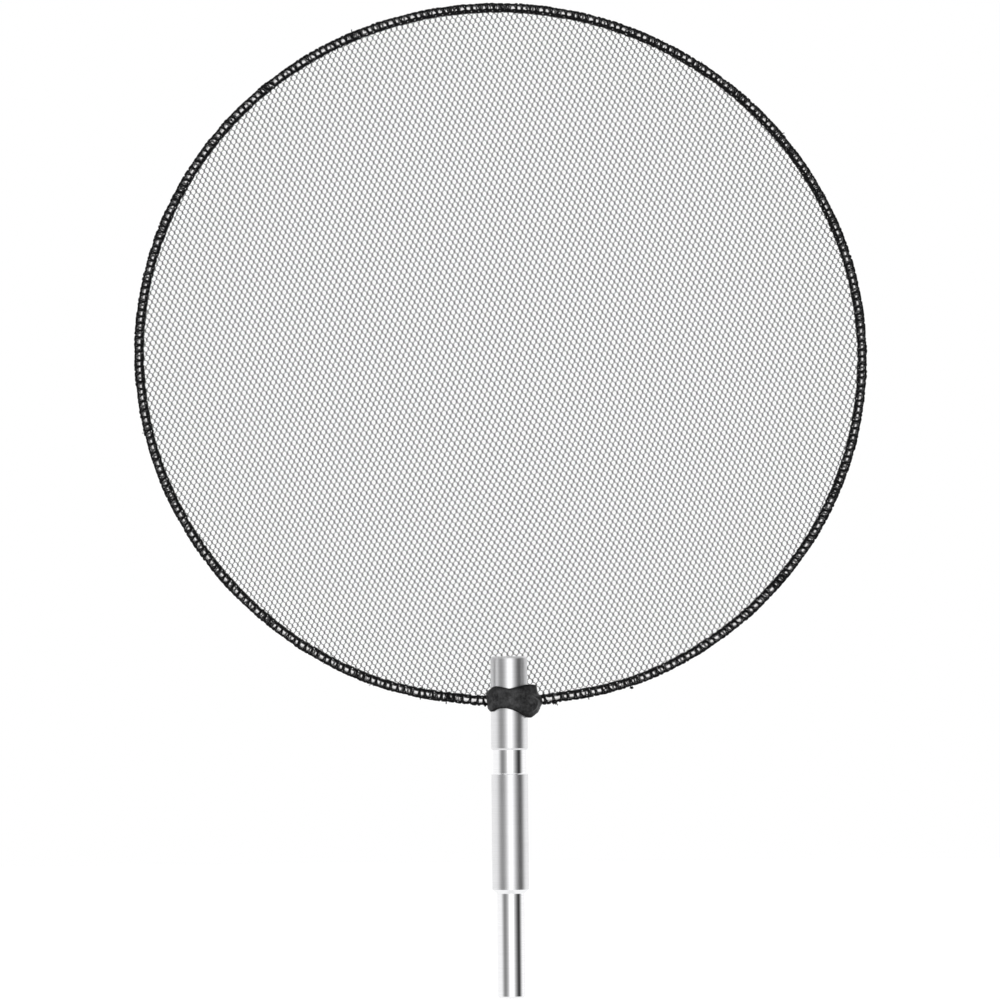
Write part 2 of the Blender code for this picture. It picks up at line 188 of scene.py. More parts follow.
def output(tree, kind, inputs=None, **options):
    """The first output of a new node."""
    return add(tree, kind, inputs, **options).outputs[0]


def maths(tree, operation, *values, **options):
    """The result of one step of arithmetic, inside a tree."""
    return output(tree, "ShaderNodeMath", dict(enumerate(values)), operation=operation, **options)


def scaled(tree, vector, amount):
    return output(tree, "ShaderNodeVectorMath", {0: vector, "Scale": amount}, operation="SCALE")


# %% Helpers for materials
def new_material(name):
    """A material, its tree, and the Principled shader that the tree starts with."""
    material = bpy.data.materials.new(name)
    material.use_nodes = True
    return material, material.node_tree, material.node_tree.nodes["Principled BSDF"]


def object_noise(tree, scale, detail, roughness=0.5):
    """A noise on the object's own coordinates, so that it stays in its place on the piece."""
    place = add(tree, "TexCoord").outputs["Object"]
    inputs = {"Vector": place, "Scale": scale, "Detail": detail, "Roughness": roughness}
    return output(tree, "TexNoise", inputs)


def bumps(tree, height, strength, distance):
    """A normal that tilts where a height rises and falls."""
    return output(tree, "Bump", {"Height": height, "Strength": strength, "Distance": distance})


def blend_of(tree, share, low, high, spread=(0.3, 0.7)):
    """A colour that goes from low to high as share goes over its spread."""
    ramp = add(tree, "ValToRGB", {"Fac": share})
    for stop, place, colour in zip(ramp.color_ramp.elements, spread, (low, high)):
        stop.position = place
        stop.color = (*colour, 1.0)
    return ramp.outputs["Color"]


# %% [markdown]
# ### Turned aluminium
# A lathe leaves fine rings. An anisotropic shader could stretch the shine as they do, but a bump keeps each
# ring in its place: its noise is stretched flat across the axis, and changes only with the height. The neck
# and the pin are fresh cuts and shine more than the head and the grip, which keep the bar's duller skin.
# Faint rubs, where clamps have held the piece, break the shine.

# %% Make the turned aluminium
HEAD_FOOT = WIRE_HEIGHT - 17.1 * MM
GRIP_TOP = HEAD_FOOT - 8.5 * MM
GRIP_FOOT = GRIP_TOP - 39.9 * MM
SKIN_ROUGHNESS = 0.28
SKIN_BRIGHTNESS = 0.88  # of the bar's skin beside a fresh cut
CUT_ROUGHNESS = 0.03
RUB_ROUGHNESS = 0.08


def turned_aluminium():
    material, tree, shader = new_material("turned_aluminium")
    place = add(tree, "TexCoord").outputs["Object"]
    rings = output(tree, "Mapping", {"Vector": place, "Scale": (60.0, 60.0, 9000.0)})
    grain = output(tree, "TexNoise", {"Vector": rings, "Scale": 1.0, "Detail": 3.0})
    rubs = object_noise(tree, 220.0, 6.0, 0.7)
    height = add(tree, "SeparateXYZ", {"Vector": place}).outputs["Z"]
    in_neck = maths(tree, "COMPARE", height, (HEAD_FOOT + GRIP_TOP) / 2, (HEAD_FOOT - GRIP_TOP) / 2)
    is_cut = maths(tree, "MAXIMUM", in_neck, maths(tree, "LESS_THAN", height, GRIP_FOOT))
    roughness = maths(tree, "MULTIPLY_ADD", is_cut, CUT_ROUGHNESS - SKIN_ROUGHNESS, SKIN_ROUGHNESS)
    brightness = maths(tree, "MULTIPLY_ADD", is_cut, 1.0 - SKIN_BRIGHTNESS, SKIN_BRIGHTNESS)
    fill(tree, shader, {
        "Base Color": scaled(tree, blend_of(tree, grain, (0.80, 0.80, 0.81), (0.90, 0.90, 0.91)), brightness),
        "Metallic": 1.0,
        "Roughness": maths(tree, "MULTIPLY_ADD", rubs, RUB_ROUGHNESS, roughness),
        "Normal": bumps(tree, grain, 0.25, 0.02 * MM),
    })
    return material


# %% [markdown]
# ### Spring steel
# The hoop is drawn wire, left bright. It shows only where the hem doesn't cover it, as short glints. One
# even metal would do for so little, but a fine noise in its colour and shine makes the glints differ, as
# they do on real wire.

# %% Make the spring steel
def spring_steel():
    material, tree, shader = new_material("spring_steel")
    streaks = object_noise(tree, 900.0, 4.0)
    shine = {"Value": streaks, "To Min": 0.15, "To Max": 0.32}
    fill(tree, shader, {
        "Base Color": blend_of(tree, streaks, (0.45, 0.44, 0.43), (0.62, 0.62, 0.63)),
        "Metallic": 1.0,
        "Roughness": output(tree, "MapRange", shine),
    })
    return material


# %% [markdown]
# ### Black yarn and thread
# The knitted yarn and the sewing thread are dyed polyester: nearly black, with a soft sheen, and not one
# even tone. A hair shader would suit single fibres, but these are whole yarns, so a plain shader with sheen
# is enough. They share a recipe and differ in its numbers. The open net is paler than real yarn, because it
# is also drawn thicker: from this far, each yarn melts into the white behind it, and the two together give
# the net's true grey. The fold over the wire is close and has no light behind it, so it keeps the yarn's own
# dark tone.

# %% Make the black fibres
def black_fibre(name, low, high, shine, grain_scale=6000.0, roughness=0.65):
    material, tree, shader = new_material(name)
    grain = object_noise(tree, grain_scale, 3.0)
    fill(tree, shader, {
        "Base Color": blend_of(tree, grain, low, high),
        "Roughness": roughness,
        "Specular IOR Level": shine,
        "Sheen Weight": shine / 2,
        "Sheen Roughness": 0.5,
        "Normal": bumps(tree, grain, 0.4, 0.03 * MM),
    })
    return material


yarn_material = black_fibre("black_tulle", (0.16, 0.16, 0.16), (0.22, 0.22, 0.22), shine=0.5)
fold_material = black_fibre("black_tulle_fold", (0.045, 0.045, 0.046), (0.085, 0.085, 0.087), shine=0.4)
fine = {"shine": 0.1, "grain_scale": 5000.0, "roughness": 0.6}
thread_material = black_fibre("black_thread", (0.002, 0.002, 0.0025), (0.012, 0.012, 0.013), **fine)
steel_material = spring_steel()
aluminium_material = turned_aluminium()
for material in (yarn_material, fold_material, thread_material, steel_material, aluminium_material):
    print(material.name, len(material.node_tree.nodes), "nodes")


# %% [markdown]
# ## The spigot
# The model's spigot has flat facets. A turned bar is one profile swept round its axis, so the same profile
# is swept here with finer steps and a small radius on each edge. The screw's hole is part of the profile,
# and the cross bore for the wire is cut out of the finished bar.

# %% Helpers for pieces
def mesh_object(name, mesh, material):
    item = bpy.data.objects.new(name, mesh)
    bpy.context.scene.collection.objects.link(item)
    mesh.materials.clear()
    mesh.materials.append(material)
    return item


def plain_mesh(item):
    """A new mesh of what an object's modifiers or curve give."""
    graph = bpy.context.evaluated_depsgraph_get()
    graph.update()
    return bpy.data.meshes.new_from_object(item.evaluated_get(graph), depsgraph=graph)


def smooth(item, degrees=32):
    """Shades a piece smooth, apart from edges that turn by more than an angle."""
    item.data.shade_smooth()
    item.data.set_sharp_from_angle(angle=math.radians(degrees))
    return item


# %% Helpers for turned pieces
def swept(name, profile, steps, material):
    """A closed solid of revolution about Z, from (radius, height) points that run from its top down."""
    shape = bmesh.new()
    rings = []
    for radius, height in profile:
        turns = [math.tau * i / steps for i in range(steps)] if radius > 0 else [0.0]
        rings.append([shape.verts.new((radius * math.cos(t), radius * math.sin(t), height)) for t in turns])
    for upper, lower in zip(rings, rings[1:]):
        for i in range(steps):
            j = (i + 1) % steps
            around = ((upper, i), (lower, i), (lower, j), (upper, j))
            corners = [ring[k % len(ring)] for ring, k in around]
            shape.faces.new(list(dict.fromkeys(corners)))
    mesh = bpy.data.meshes.new(name)
    shape.to_mesh(mesh)
    shape.free()
    return mesh_object(name, mesh, material)


def rod(name, radius, reach, sides, material):
    """A plain rod about Z that reaches as far up as down, to cut a hole with."""
    return swept(name, [(0.0, reach), (radius, reach), (radius, -reach), (0.0, -reach)], sides, material)


def eased_corners(profile, radius):
    """The same profile, with each inner corner taken off in three short steps."""
    points = [profile[0]]
    for before, corner, after in zip(profile, profile[1:], profile[2:]):
        corner = np.array(corner)
        for other, shares in ((before, (1.0, 0.35)), (after, (0.35, 1.0))):
            pull = np.array(other) - corner
            points += [tuple(corner + pull / np.linalg.norm(pull) * radius * share) for share in shares]
    return points + [profile[-1]]


def cut_away(item, cutter):
    """Cuts one mesh from another for good, and removes the cutter."""
    boolean = item.modifiers.new("cut", "BOOLEAN")
    boolean.operation = "DIFFERENCE"
    boolean.object = cutter
    boolean.solver = "EXACT"
    item.data = plain_mesh(item)
    item.modifiers.clear()
    bpy.data.objects.remove(cutter, do_unlink=True)


# %% Turn the spigot
NECK_RADIUS = 5.7 * MM
PIN_RADIUS = 4.7625 * MM
PIN_TOP = GRIP_FOOT - 1.4 * MM
EDGE_CHAMFER = 0.6 * MM
EDGE_RADIUS = 0.08 * MM
SCREW_BORE_RADIUS = 2.8 * MM
SCREW_BORE_CHAMFER = 0.3 * MM
BORE_MARGIN = 2.2 * MM  # the bar has a ring of points this far above and below the cross bore's axis
bore_foot = WIRE_HEIGHT + 1.5 * WIRE_RADIUS
fillet = [
    (NECK_RADIUS + EDGE_CHAMFER * (1 - math.cos(turn)), GRIP_TOP + EDGE_CHAMFER * (1 - math.sin(turn)))
    for turn in (0.0, 0.5, 1.0)
]
spigot_profile = [
    (0.0, bore_foot),
    (SCREW_BORE_RADIUS, bore_foot),
    (SCREW_BORE_RADIUS, STUB_TOP - SCREW_BORE_CHAMFER),
    (SCREW_BORE_RADIUS + SCREW_BORE_CHAMFER, STUB_TOP),
    (BAR_RADIUS - EDGE_CHAMFER, STUB_TOP),
    (BAR_RADIUS, STUB_TOP - EDGE_CHAMFER),
    (BAR_RADIUS, WIRE_HEIGHT + BORE_MARGIN),
    (BAR_RADIUS, WIRE_HEIGHT - BORE_MARGIN),
    (BAR_RADIUS, HEAD_FOOT + EDGE_CHAMFER),
    (BAR_RADIUS - 0.55 * EDGE_CHAMFER, HEAD_FOOT),
    (NECK_RADIUS, HEAD_FOOT),
    *fillet,
    (BAR_RADIUS, GRIP_TOP),
    (BAR_RADIUS, GRIP_FOOT),
    (PIN_RADIUS, PIN_TOP),
    (PIN_RADIUS, PIN_END + EDGE_CHAMFER),
    (PIN_RADIUS - EDGE_CHAMFER, PIN_END),
    (0.0, PIN_END),
]
spigot = swept("turned_spigot", eased_corners(spigot_profile, EDGE_RADIUS), 96, aluminium_material)
cross_bore = rod("cross_bore", 1.2 * WIRE_RADIUS, 9 * MM, 24, aluminium_material)
cross_bore.rotation_euler = (0.0, math.pi / 2, 0.0)
cross_bore.location = (0.0, 0.0, WIRE_HEIGHT)
cut_away(spigot, cross_bore)
smooth(spigot)
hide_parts("spigot")
print("spigot", len(spigot.data.vertices), "points")


# %% [markdown]
# ### The grub screw
# A grub screw has no head. It is turned like the spigot, and a hexagon for the key is cut into its top. Only
# that top can be seen, down the hole in the stub, so its thread isn't cut.

# %% Make the grub screw
def black_steel():
    material, tree, shader = new_material("black_steel")
    colour = blend_of(tree, object_noise(tree, 1500.0, 5.0), (0.02, 0.02, 0.022), (0.07, 0.07, 0.075))
    fill(tree, shader, {"Base Color": colour, "Metallic": 1.0, "Roughness": 0.38})
    return material


black_steel_material = black_steel()
GRUB_LOW, GRUB_HIGH = (Vector(corner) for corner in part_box("grub_screw"))
GRUB_CHAMFER = 0.4 * MM
KEY_WIDTH = 2.5 * MM  # across its flats
KEY_DEPTH = 3 * MM
grub_radius = (GRUB_HIGH.x - GRUB_LOW.x) / 2
grub_profile = [
    (0.0, GRUB_HIGH.z),
    (grub_radius - GRUB_CHAMFER, GRUB_HIGH.z),
    (grub_radius, GRUB_HIGH.z - GRUB_CHAMFER),
    (grub_radius, GRUB_LOW.z + GRUB_CHAMFER),
    (grub_radius - GRUB_CHAMFER, GRUB_LOW.z),
    (0.0, GRUB_LOW.z),
]
grub_screw = swept("socket_screw", eased_corners(grub_profile, 0.06 * MM), 48, black_steel_material)
key = rod("key", KEY_WIDTH / math.sqrt(3), KEY_DEPTH, 6, black_steel_material)
key.location = (0.0, 0.0, GRUB_HIGH.z)
cut_away(grub_screw, key)
smooth(grub_screw)
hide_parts("grub_screw")
print("screw", round(1000 * (GRUB_HIGH.z - GRUB_LOW.z), 1), "mm long")


# %% [markdown]
# ## The hoop's wire
# One piece of drawn wire, round in section, runs all the way from one end to the other. Both ends meet
# inside the spigot. A curve with a round bevel is the usual way to make it, and it is made a plain mesh at
# the end.

# %% Draw the wire
WIRE_END = 0.3 * MM  # each end stops this far from the spigot's axis


def upright(points):
    """Points (x, z) of the hoop's plane as (x, y, z)."""
    return np.stack([points[:, 0], np.zeros(len(points)), points[:, 1]], axis=1)


def tube(name, line, radius, sides, material):
    """A round tube along a line of points, with closed ends."""
    curve = bpy.data.curves.new(name, "CURVE")
    curve.dimensions = "3D"
    curve.bevel_depth = radius
    curve.bevel_resolution = (sides - 4) // 2
    curve.use_fill_caps = True
    spline = curve.splines.new("POLY")
    spline.points.add(len(line) - 1)
    spline.points.foreach_set("co", np.column_stack([line, np.ones(len(line))]).ravel())
    shaped = bpy.data.objects.new(name, curve)
    bpy.context.scene.collection.objects.link(shaped)
    mesh = plain_mesh(shaped)
    bpy.data.objects.remove(shaped, do_unlink=True)
    return smooth(mesh_object(name, mesh, material), 60)


whole_line, WIRE_LENGTH = hoop_points(WIRE_END, -WIRE_END, 420)
wire = tube("drawn_wire", upright(whole_line), WIRE_RADIUS, 16, steel_material)
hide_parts("hoop_wire")
print(f"wire {1000 * WIRE_LENGTH:.0f} mm long, {len(wire.data.vertices)} points")


# %% [markdown]
# ## The net
# Tulle is knitted. Each yarn climbs the cloth in a zigzag: it twists with the yarn on its left, crosses
# over, twists with the yarn on its right, and so on. The twisted pairs are the upright sides of six-sided
# holes.
#
# A picture of a net on a flat plane would be quicker, but it has no thickness and breaks up from the side.
# Here the yarns are real. Geometry Nodes draw one yarn from its place in the row, turn a copy of it to face
# the other way, and repeat the pair across the cloth.

# %% Helpers for Geometry Nodes
SOCKETS = {int: "NodeSocketInt", float: "NodeSocketFloat", bpy.types.Material: "NodeSocketMaterial"}


def new_node_group(name, sizes):
    """A tree, its inputs from a dict of name and default, and output and maths for this tree alone."""
    tree = bpy.data.node_groups.new(name, "GeometryNodeTree")
    tree.interface.new_socket("Geometry", in_out="OUTPUT", socket_type="NodeSocketGeometry")
    tree.interface.new_socket("Geometry", in_out="INPUT", socket_type="NodeSocketGeometry")
    for label, value in sizes.items():
        socket = tree.interface.new_socket(label, in_out="INPUT", socket_type=SOCKETS[type(value)])
        if not isinstance(value, bpy.types.Material):
            socket.default_value = value
    return tree, tree.nodes.new("NodeGroupInput").outputs, partial(output, tree), partial(maths, tree)


def finish_group(tree, geometry, material):
    """Ends a tree: instances become real, and the material is set."""
    real = output(tree, "RealizeInstances", {"Geometry": geometry})
    coloured = output(tree, "SetMaterial", {"Geometry": real, "Material": material})
    shaded = output(tree, "SetShadeSmooth", {"Geometry": coloured})
    add(tree, "NodeGroupOutput", {"Geometry": shaded})


def grown(name, tree, material, mesh=None, **sizes):
    """Runs a tree, on a mesh or on nothing, with some of its inputs set. Returns a plain object."""
    item = mesh_object(name, mesh or bpy.data.meshes.new(name), material)
    modifier = item.modifiers.new(tree.name, "NODES")
    modifier.node_group = tree
    values = {label.replace("_", " "): value for label, value in sizes.items()} | {"Material": material}
    for socket in tree.interface.items_tree:
        if socket.in_out == "INPUT" and socket.name in values:
            modifier[socket.identifier] = values[socket.name]
    result = plain_mesh(item)
    item.modifiers.clear()
    item.data = result
    return item


# %% Set the knit
STITCH_WIDTH = 1.95 * MM
STITCH_RISE = 1.56 * MM
TWIST_HEIGHT = 1.0 * MM
YARN_RADIUS = 0.136 * MM
yarn_side = 1.6 * YARN_RADIUS
yarn_depth = 4.4 * YARN_RADIUS
link_length = math.hypot(STITCH_WIDTH / 2 - 1.2 * yarn_side, STITCH_RISE - TWIST_HEIGHT)
knit_tree, given, node, calc = new_node_group("knit_tulle", {
    "Columns": 10,
    "Rows": 10,
    "Stitch width": STITCH_WIDTH,
    "Stitch rise": STITCH_RISE,
    "Twist height": TWIST_HEIGHT,
    "Side": yarn_side,
    "Depth": yarn_depth,
    "Yarn radius": YARN_RADIUS,
    "Twist swell": 0.5,
    "Bias": 0.03,  # the links that fall to the right are heavier than the others by this share
    "Half link": link_length / 2,
    "Material": yarn_material,
})
print(f"{MM**2 / (STITCH_WIDTH * STITCH_RISE):.2f} holes in each square millimetre")

# %% [markdown]
# A yarn has three points for each row, up one twist: before, at and after the place where the two yarns of a
# pair cross. From row to row it swings over to its other neighbour. It is thicker in the twists, where two
# yarns lie together, and it is cut off in the middle of its first and last link, so that the next band of
# cloth joins on there.

# %% Place the points of one yarn
line = node("MeshLine", {"Count": calc("MULTIPLY_ADD", given["Rows"], 3.0, 2.0)})
number = calc("SUBTRACT", node("InputIndex"), 1.0)
row = calc("FLOOR", calc("DIVIDE", number, 3.0))
knot = calc("FLOORED_MODULO", number, 3.0)  # 0, 1 and 2 up one twist
way = calc("MULTIPLY_ADD", calc("FLOORED_MODULO", row, 2.0), -2.0, 1.0)  # 1 or -1, by turns
crossed = calc("COMPARE", knot, 1.0, 0.5)
swing = calc("MULTIPLY", calc("MULTIPLY_ADD", crossed, -1.6, 0.6), given["Side"])
column_shift = calc("MULTIPLY", calc("MULTIPLY_ADD", way, -0.25, 0.25), given["Stitch width"])
across = calc("MULTIPLY_ADD", way, swing, column_shift)
step_up = calc("MULTIPLY", calc("MULTIPLY_ADD", knot, 0.5, -0.5), given["Twist height"])
up = calc("MULTIPLY_ADD", row, given["Stitch rise"], step_up)
fore = calc("MULTIPLY", way, calc("MULTIPLY_ADD", knot, -0.5, 0.5))
back = calc("MULTIPLY", fore, given["Depth"])
spot = node("ShaderNodeCombineXYZ", {"X": across, "Y": up, "Z": back})
zigzag = node("SetPosition", {"Geometry": line, "Position": spot})
print("one yarn's points:", len(knit_tree.nodes), "nodes")

# %% Thicken the yarn, and repeat it
thin = node("MeshToCurve", {"Mesh": zigzag})
swollen = calc("MULTIPLY_ADD", crossed, given["Twist swell"], 1.0)
slack = calc("MULTIPLY", fore, calc("MULTIPLY", given["Bias"], 2.0))
scale = node("InputRadius")
ring = node("CurvePrimitiveCircle", {"Resolution": 4, "Radius": given["Yarn radius"]})
halves = []
for sign in ("ADD", "SUBTRACT"):
    yarn = node("SetCurveRadius", {"Curve": thin, "Radius": calc(sign, swollen, slack)})
    whole = node("SplineLength")
    ends = {4: given["Half link"], 5: calc("SUBTRACT", whole, given["Half link"])}  # start and end
    trimmed = node("TrimCurve", {"Curve": yarn} | ends, mode="LENGTH")
    level = node("SetCurveNormal", {"Curve": trimmed}, mode="Z_UP")
    spun = node("CurveToMesh", {"Curve": level, "Profile Curve": ring, "Scale": scale})
    halves.append(spun)
halves[1] = node("Transform", {"Geometry": halves[1], "Rotation": (0.0, math.pi, 0.0)})
pair = add(knit_tree, "JoinGeometry")
for half in halves:
    knit_tree.links.new(half, pair.inputs[0])
stride = node("ShaderNodeCombineXYZ", {"X": given["Stitch width"]})
places = node("MeshLine", {"Count": given["Columns"], "Offset": stride})
cloth = node("InstanceOnPoints", {"Points": places, "Instance": pair.outputs[0]})
finish_group(knit_tree, cloth, given["Material"])
print("the whole knitting tree:", len(knit_tree.nodes), "nodes")


# %% [markdown]
# ### Stretching the cloth over the hoop
# The knitted cloth is a flat rectangle in its own coordinates. It is laid on the hoop with its rows rising
# to the right, as in the photograph. It isn't perfectly even: the rows wander by a fraction of a hole, and
# near the spigot the holes are pulled wider. The stub pushes the middle of the foot back. Whatever would lie
# past the wire is drawn back to it, and what lies wholly beyond is cut off. A cloth simulation could stretch
# it too, but not thousands of thin yarns, and a formula gives the same cloth each time.

# %% Lay the cloth in the hoop's plane
ROW_TILT = math.radians(11.6)
COLUMN_TILT = math.radians(9.1)
ACROSS = np.array((math.cos(ROW_TILT), math.sin(ROW_TILT)))
UP = np.array((-math.sin(COLUMN_TILT), math.cos(COLUMN_TILT)))
PULL_CENTRE = np.array((0.0, WIRE_HEIGHT + 48 * MM))
PULL_REACH = 60.0 * MM
PULL_WIDER = 0.06
PULL_LOWER = 0.055
WANDER = 0.12 * MM


def wander(points, seed):
    """A slow, smooth offset over the cloth, the same each time."""
    draw = np.random.default_rng(seed)
    total = np.zeros(len(points))
    for length in (15 * MM, 22 * MM, 34 * MM, 60 * MM):
        turn = draw.uniform(0, math.tau)
        wave = (points @ (math.cos(turn), math.sin(turn))) * math.tau / length + draw.uniform(0, math.tau)
        total += np.sin(wave) * length / (150 * MM)
    return total


def laid(flat):
    """Places (x, z) on the hoop's plane, for points of the flat cloth."""
    points = HOOP_CENTRE + flat[:, :1] * ACROSS + flat[:, 1:2] * UP
    pulled = points - PULL_CENTRE
    near = np.exp(-np.sum(pulled**2, axis=1) / PULL_REACH**2)[:, None]
    sideways = (pulled @ ACROSS)[:, None] * ACROSS
    points += near * (PULL_WIDER * sideways - PULL_LOWER * (pulled - sideways))
    return points + WANDER * np.stack([wander(points, 3), wander(points, 8)], axis=1)


# %% Keep the cloth inside the hoop, and draw it back behind the stub
NET_INSET = 1.15 * MM  # from the wire's centre line to the cloth's edge
TENT_DEPTH = BAR_RADIUS + 0.45 * MM
TENT_SPREAD = 45.0 * MM
TENT_FULLNESS = 1.3  # above 1, the cloth reaches its full depth before it meets the stub
TENT_CURVE = 1.5
foot_line = whole_line[whole_line[:, 1] < HOOP_CENTRE[1]]
foot_line = foot_line[np.argsort(foot_line[:, 0])]


def kept_in(points):
    """The same places, drawn back to the cloth's edge, and whether each was inside it."""
    from_centre = points - HOOP_CENTRE
    long_share = from_centre @ LONG_AXIS / (LONG_SEMI - NET_INSET)
    share = np.hypot(long_share, from_centre @ SHORT_AXIS / (SHORT_SEMI - NET_INSET))
    held = HOOP_CENTRE + from_centre / np.maximum(share, 1)[:, None]
    floor = np.interp(held[:, 0], foot_line[:, 0], foot_line[:, 1]) + NET_INSET
    floor = np.where(held[:, 1] < HOOP_CENTRE[1] - SHORT_SEMI / 2, floor, held[:, 1])
    inside = (share <= 1) & (held[:, 1] >= floor)
    held[:, 1] = np.maximum(held[:, 1], floor)
    return held, inside


def tent(points):
    """How far the stub holds the cloth back at each place."""
    from_rim = np.full(len(points), np.inf)
    for rim in bound_rim[::4]:
        from_rim = np.minimum(from_rim, np.hypot(*(points - rim).T))
    heights = np.clip(points[:, 1], WIRE_HEIGHT, STUB_TOP)
    from_stub = np.hypot(points[:, 0], points[:, 1] - heights)
    share = from_rim / (from_stub + from_rim)
    depth = TENT_FULLNESS * TENT_DEPTH * share**TENT_CURVE / (1 + (from_stub / TENT_SPREAD) ** 2)
    return np.minimum(TENT_DEPTH, depth)


# %% Helpers for moving and trimming points
def read_points(mesh):
    points = np.empty(3 * len(mesh.vertices))
    mesh.vertices.foreach_get("co", points)
    return points.reshape(-1, 3)


def write_points(mesh, points):
    mesh.vertices.foreach_set("co", points.ravel())
    mesh.update()


def trim(mesh, inside):
    """Deletes what lies wholly outside: a point stays if a face that it is in has a corner inside."""
    corners = np.empty(4 * len(mesh.polygons), dtype=int)
    mesh.loops.foreach_get("vertex_index", corners)
    corners = corners.reshape(-1, 4)
    doomed = np.ones(len(inside), dtype=bool)
    doomed[corners[inside[corners].any(axis=1)].ravel()] = False
    shape = bmesh.new()
    shape.from_mesh(mesh)
    shape.verts.ensure_lookup_table()
    gone = [shape.verts[int(i)] for i in np.nonzero(doomed)[0]]
    bmesh.ops.delete(shape, geom=gone, context="VERTS")
    shape.to_mesh(mesh)
    shape.free()


# %% Knit and stretch the net
BANDS = 6
BAND_ROWS = 27
NET_COLUMNS = 138


def measured(first_row):
    """How many stitches of a band lie in the hoop, the flat size that they need, and their own area."""
    rows, columns = (number.ravel() for number in np.mgrid[0:BAND_ROWS, 0:NET_COLUMNS])
    flat = np.stack([(columns - NET_COLUMNS / 2) * STITCH_WIDTH, (rows + first_row) * STITCH_RISE], axis=1)
    stitches = kept_in(laid(flat))[1]
    width = STITCH_WIDTH * (np.ptp(columns[stitches]) + 1)
    length = STITCH_RISE * (np.ptp(rows[stitches]) + 1)
    return stitches.sum(), (width, length), stitches.sum() * STITCH_WIDTH * STITCH_RISE


net_bands = []
for band in range(BANDS):
    item = grown(f"tulle_{band + 1}", knit_tree, yarn_material, Columns=NET_COLUMNS, Rows=BAND_ROWS)
    first_row = (band - BANDS / 2) * BAND_ROWS
    flat = read_points(item.data)
    flat[:, 0] -= STITCH_WIDTH * NET_COLUMNS / 2
    flat[:, 0] += STITCH_WIDTH / 2 * (BAND_ROWS * band % 2)  # every other row is half a stitch over
    flat[:, 1] += STITCH_RISE * first_row
    held, inside = kept_in(laid(flat))
    write_points(item.data, np.stack([held[:, 0], tent(held) + flat[:, 2], held[:, 1]], axis=1))
    trim(item.data, inside)
    count, flat_size, area = measured(first_row)
    net_bands.append((item, flat_size, area))
    print(f"{item.name}: {count} stitches, {1e4 * area:.0f} cm2, {2 * len(item.data.polygons)} triangles")


# %% [markdown]
# ## The hem
# The tulle is folded over the wire and sewn with an overlock stitch. A texture on a sleeve would hide the
# wire, which glints through the holes of the real fold. So the fold is knitted by the same tree, as a band
# of a few rows, and bent into a C round the wire. Its opening faces the net.

# %% Helpers for bending along the wire
def headings(line):
    """The direction of a line (x, z) at each of its points."""
    steps = np.gradient(line, axis=0)
    return steps / np.linalg.norm(steps, axis=1)[:, None]


def outwards(heading):
    """The directions away from the hoop's middle, from those along its wire."""
    return np.stack([heading[:, 1], -heading[:, 0]], axis=1)


def wrapped(along, turn, radius):
    """Points round the wire: turn is 0 outwards, and grows over the front towards the net."""
    share = along / BOUND_LENGTH * (len(bound_rim) - 1)
    number = np.arange(len(bound_rim))
    place = read_between(share, number, bound_rim)
    outward = outwards(read_between(share, number, headings(bound_rim)))
    place += (radius * np.cos(turn))[:, None] * outward
    return np.stack([place[:, 0], -radius * np.sin(turn), place[:, 1]], axis=1)


# %% Knit and bend the hem
HEM_ROWS = 3
HEM_RADIUS = WIRE_RADIUS + 0.22 * MM
HEM_DEPTH = 0.35  # the fold is pressed flat to this share of the cloth's thickness
hem_columns = int(BOUND_LENGTH / STITCH_WIDTH) - 1
hem = grown("hem_fold", knit_tree, fold_material, Columns=hem_columns, Rows=HEM_ROWS)
flat = read_points(hem.data)
middle_row = STITCH_RISE * (HEM_ROWS - 1) / 2
turn = (flat[:, 1] - middle_row) / STITCH_RISE * math.radians(90)
write_points(hem.data, wrapped(flat[:, 0] + STITCH_WIDTH / 2, turn, HEM_RADIUS + HEM_DEPTH * flat[:, 2]))
print("hem", hem_columns, "stitches long")

# %% [markdown]
# ### The overlock stitch
# An overlock seam has looper threads that lie across the front and the back of the edge, and lock with each
# other along the rim and along the needle's line. Every thread repeats one loop along the same path, so one
# tree makes them all: it shares the path into points, swings them round the wire in time with each loop, and
# gives them thickness. The numbers tell the threads apart. Each loop is also moved a little by a fixed
# random value, because real stitches are never quite even, and more so near the ends of the seam, where it
# frays.

# %% Share the seam's path into loops
LOOP_PITCH = 2.5 * MM
POINTS_A_LOOP = 12
sew_tree, given, node, calc = new_node_group("sew_edge", {
    "Loops": 100,
    "Pitch": LOOP_PITCH,
    "From turn": 0.0,
    "To turn": math.pi,
    "Reach": 1.45 * MM,
    "Swell": 0.1 * MM,
    "Phase": 0.0,
    "Slant": 0.0,
    "Unevenness": 0.16,
    "Fraying": 1.6,
    "Seed": 1,
    "Thread radius": 0.25 * MM,
    "Material": thread_material,
})
path = node("MeshToCurve", {"Mesh": given["Geometry"]})
count = calc("MULTIPLY_ADD", given["Loops"], POINTS_A_LOOP, 1.0)
shared = node("ResampleCurve", {"Curve": path, "Count": count})
index = node("InputIndex")
progress = calc("ADD", calc("DIVIDE", index, POINTS_A_LOOP), given["Phase"])
loop = calc("FLOOR", progress)
beat = calc("FRACT", progress)  # from 0 to 1 along one loop
from_end = calc("PINGPONG", node("SplineParameter"), 0.5)
frayed = node("ShaderNodeMapRange", {"Value": from_end, "From Max": 0.035, "To Min": given["Fraying"]})
uneven = calc("MULTIPLY", given["Unevenness"], frayed)
chance = {"ID": loop, "Seed": given["Seed"], "Min": (-1.0, -1.0, -1.0)}
chance = node("FunctionNodeRandomValue", chance, data_type="FLOAT_VECTOR")
luck = add(sew_tree, "ShaderNodeSeparateXYZ", {"Vector": chance}).outputs
print("loops:", len(sew_tree.nodes), "nodes")

